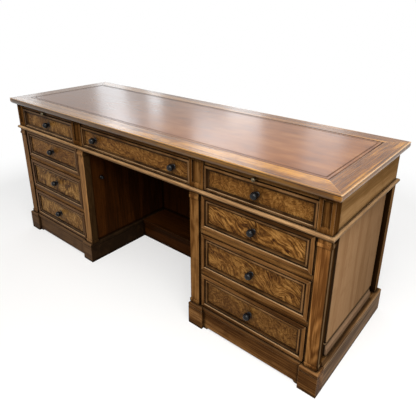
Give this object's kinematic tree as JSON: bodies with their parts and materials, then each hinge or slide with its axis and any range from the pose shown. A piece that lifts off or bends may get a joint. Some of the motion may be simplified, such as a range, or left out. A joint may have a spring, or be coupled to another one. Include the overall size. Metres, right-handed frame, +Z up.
{
  "type": "pedestal desk",
  "caption": "Kneehole pedestal desk with a leather-inlaid top, moulded frieze and pedestal drawers on wooden runners, pull-out writing slides and a footrest in the kneehole.",
  "frame": {"origin": "on the floor, under the middle of the desk", "axes": "+X along the width towards the right pedestal, -Y towards the drawer fronts, +Z up"},
  "size_m": [1.829, 0.61, 0.762],
  "materials": {
    "stained_wood": "satin, antiqued stain",
    "burl_veneer": "satin, figured veneer",
    "drawer_wood": "plain, oiled",
    "leather": "waxed, low sheen",
    "dark_bronze": "dark antique bronze",
    "brass": "polished"
  },
  "bodies": {
    "carcase": {"top_border": "stained_wood", "top_core": "drawer_wood", "leather_inset": "leather", "frieze_blocks": "stained_wood", "frieze_case": "stained_wood", "frieze_floor": "drawer_wood", "frieze_framing": "stained_wood", "waist_moulding": "stained_wood", "pilasters": "stained_wood", "pedestal_frames": "stained_wood", "pedestal_panels": "stained_wood", "inner_sides": "stained_wood", "pedestal_boards": "drawer_wood", "drawer_rails": "stained_wood", "drawer_runners": "drawer_wood", "plinth_boards": "stained_wood", "foot_blocks": "stained_wood", "modesty_panel": "stained_wood", "footrest": "stained_wood", "frieze_guides": "drawer_wood"},
    "left_upper_drawer": {"left_upper_drawer_front": "burl_veneer", "left_upper_drawer_moulding": "stained_wood", "left_upper_drawer_box": "drawer_wood", "left_upper_drawer_knob": "dark_bronze"},
    "left_middle_drawer": {"left_middle_drawer_front": "burl_veneer", "left_middle_drawer_moulding": "stained_wood", "left_middle_drawer_box": "drawer_wood", "left_middle_drawer_knob": "dark_bronze"},
    "left_lower_drawer": {"left_lower_drawer_front": "burl_veneer", "left_lower_drawer_moulding": "stained_wood", "left_lower_drawer_box": "drawer_wood", "left_lower_drawer_knob": "dark_bronze"},
    "left_frieze_drawer": {"left_frieze_drawer_front": "burl_veneer", "left_frieze_drawer_moulding": "stained_wood", "left_frieze_drawer_box": "drawer_wood", "left_frieze_drawer_knob": "dark_bronze"},
    "right_upper_drawer": {"right_upper_drawer_front": "burl_veneer", "right_upper_drawer_moulding": "stained_wood", "right_upper_drawer_box": "drawer_wood", "right_upper_drawer_knob": "dark_bronze"},
    "right_middle_drawer": {"right_middle_drawer_front": "burl_veneer", "right_middle_drawer_moulding": "stained_wood", "right_middle_drawer_box": "drawer_wood", "right_middle_drawer_knob": "dark_bronze"},
    "right_lower_drawer": {"right_lower_drawer_front": "burl_veneer", "right_lower_drawer_moulding": "stained_wood", "right_lower_drawer_box": "drawer_wood", "right_lower_drawer_knob": "dark_bronze"},
    "right_frieze_drawer": {"right_frieze_drawer_front": "burl_veneer", "right_frieze_drawer_moulding": "stained_wood", "right_frieze_drawer_box": "drawer_wood", "right_frieze_drawer_knob": "dark_bronze"},
    "centre_frieze_drawer": {"centre_frieze_drawer_front": "burl_veneer", "centre_frieze_drawer_moulding": "stained_wood", "centre_frieze_drawer_box": "drawer_wood", "centre_frieze_drawer_knob": "dark_bronze"},
    "left_slide": {"left_writing_slide": "stained_wood", "left_slide_knob": "brass"},
    "right_slide": {"right_writing_slide": "stained_wood", "right_slide_knob": "brass"}
  },
  "joints": [
    {"name": "left_upper_drawer_slide", "type": "slide", "parent": "carcase", "child": "left_upper_drawer", "axis": [0, -1, 0], "range_m": [0, 0.36]},
    {"name": "left_middle_drawer_slide", "type": "slide", "parent": "carcase", "child": "left_middle_drawer", "axis": [0, -1, 0], "range_m": [0, 0.36]},
    {"name": "left_lower_drawer_slide", "type": "slide", "parent": "carcase", "child": "left_lower_drawer", "axis": [0, -1, 0], "range_m": [0, 0.36]},
    {"name": "left_frieze_drawer_slide", "type": "slide", "parent": "carcase", "child": "left_frieze_drawer", "axis": [0, -1, 0], "range_m": [0, 0.36]},
    {"name": "right_upper_drawer_slide", "type": "slide", "parent": "carcase", "child": "right_upper_drawer", "axis": [0, -1, 0], "range_m": [0, 0.36]},
    {"name": "right_middle_drawer_slide", "type": "slide", "parent": "carcase", "child": "right_middle_drawer", "axis": [0, -1, 0], "range_m": [0, 0.36]},
    {"name": "right_lower_drawer_slide", "type": "slide", "parent": "carcase", "child": "right_lower_drawer", "axis": [0, -1, 0], "range_m": [0, 0.36]},
    {"name": "right_frieze_drawer_slide", "type": "slide", "parent": "carcase", "child": "right_frieze_drawer", "axis": [0, -1, 0], "range_m": [0, 0.36]},
    {"name": "centre_frieze_drawer_slide", "type": "slide", "parent": "carcase", "child": "centre_frieze_drawer", "axis": [0, -1, 0], "range_m": [0, 0.36]},
    {"name": "left_slide_pull", "type": "slide", "parent": "carcase", "child": "left_slide", "axis": [0, -1, 0], "range_m": [0, 0.3]},
    {"name": "right_slide_pull", "type": "slide", "parent": "carcase", "child": "right_slide", "axis": [0, -1, 0], "range_m": [0, 0.3]}
  ]
}
